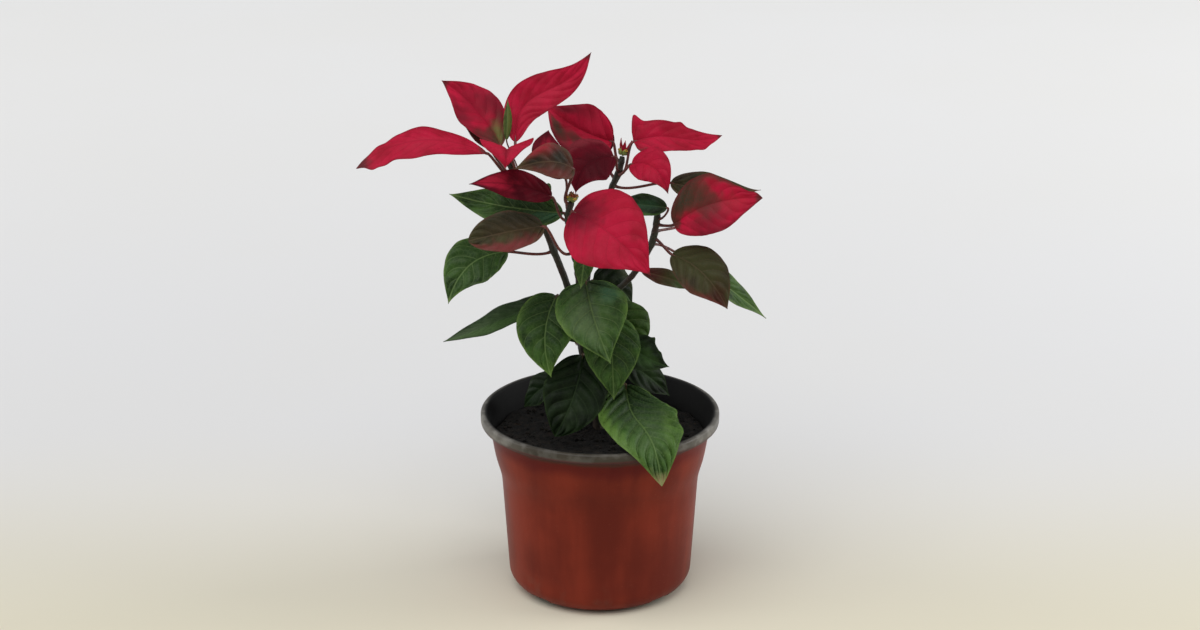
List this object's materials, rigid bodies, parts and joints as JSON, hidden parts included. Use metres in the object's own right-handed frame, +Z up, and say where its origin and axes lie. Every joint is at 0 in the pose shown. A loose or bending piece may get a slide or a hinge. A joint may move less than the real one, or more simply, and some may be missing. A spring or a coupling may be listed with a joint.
{
  "type": "potted poinsettia",
  "caption": "Branched poinsettia with red bracts and green leaves, growing in a round plastic nursery pot filled with soil; it stands on its flat foot.",
  "frame": {"origin": "centre of the pot's flat underside", "axes": "+Z is up along the pot's axis, from the underside to the crowns; -Y is the plant's front, with the longest bract reaching towards -X"},
  "size_m": [0.2368, 0.155, 0.3214],
  "materials": {
    "pot_plastic": "semi-matt terracotta-coloured moulded plastic, near-black inside, with a smoky grey-brown lip",
    "potting_soil": "crumbly dark peat mix, matt",
    "stem_bark": "dark green-brown bark, matt, smoother and greener towards the branch ends",
    "green_leaf": "soft green leaf with pale veins and margins, slight waxy sheen",
    "dark_leaf": "dark green leaf with fine veins, slight waxy sheen",
    "turning_leaf": "olive-brown leaf turning from green to red, slight waxy sheen",
    "red_bract": "bright crimson bract with fine veins, velvety",
    "shaded_bract": "deep crimson bract, velvety",
    "flower_bud": "yellow-green flower cup with a red mouth and a small yellow gland, slight waxy sheen"
  },
  "bodies": {
    "root": {"pot": "pot_plastic", "soil": "potting_soil", "stem": "stem_bark", "bract_left_far": "red_bract", "bract_left_up": "red_bract", "bract_left_tall": "red_bract", "bract_left_front": "red_bract", "leaf_left_young": "green_leaf", "bract_left_back": "shaded_bract", "leaf_left_low": "green_leaf", "leaf_left_behind": "green_leaf", "bract_front_heart": "red_bract", "bract_front_left": "shaded_bract", "bract_front_dark": "turning_leaf", "bract_front_small": "shaded_bract", "leaf_front_upper": "green_leaf", "leaf_front_brown": "turning_leaf", "leaf_front_inner": "green_leaf", "leaf_front_hidden": "green_leaf", "bract_back_top": "red_bract", "bract_back_hanging": "shaded_bract", "bract_back_right": "red_bract", "bract_back_heart": "red_bract", "leaf_back_right": "turning_leaf", "bract_back_hidden": "shaded_bract", "leaf_back_low": "green_leaf", "bract_right_large": "red_bract", "leaf_right_inner": "dark_leaf", "leaf_right_olive": "turning_leaf", "leaf_right_low": "green_leaf", "leaf_right_narrow": "turning_leaf", "leaf_right_hidden": "green_leaf", "leaf_fork_right": "dark_leaf", "leaf_middle_front": "green_leaf", "leaf_middle_left_long": "dark_leaf", "leaf_middle_left": "green_leaf", "leaf_middle_right": "green_leaf", "leaf_middle_back": "green_leaf", "leaf_low_centre": "green_leaf", "leaf_low_right": "dark_leaf", "leaf_low_back": "green_leaf", "leaf_low_dark": "dark_leaf", "leaf_foot_right": "dark_leaf", "leaf_foot_back": "green_leaf", "leaf_foot_behind": "dark_leaf", "leaf_foot_left": "dark_leaf", "leaf_front_drooping": "green_leaf", "buds_left": "flower_bud", "buds_front": "flower_bud", "buds_back": "flower_bud", "buds_right": "flower_bud"}
  },
  "joints": []
}
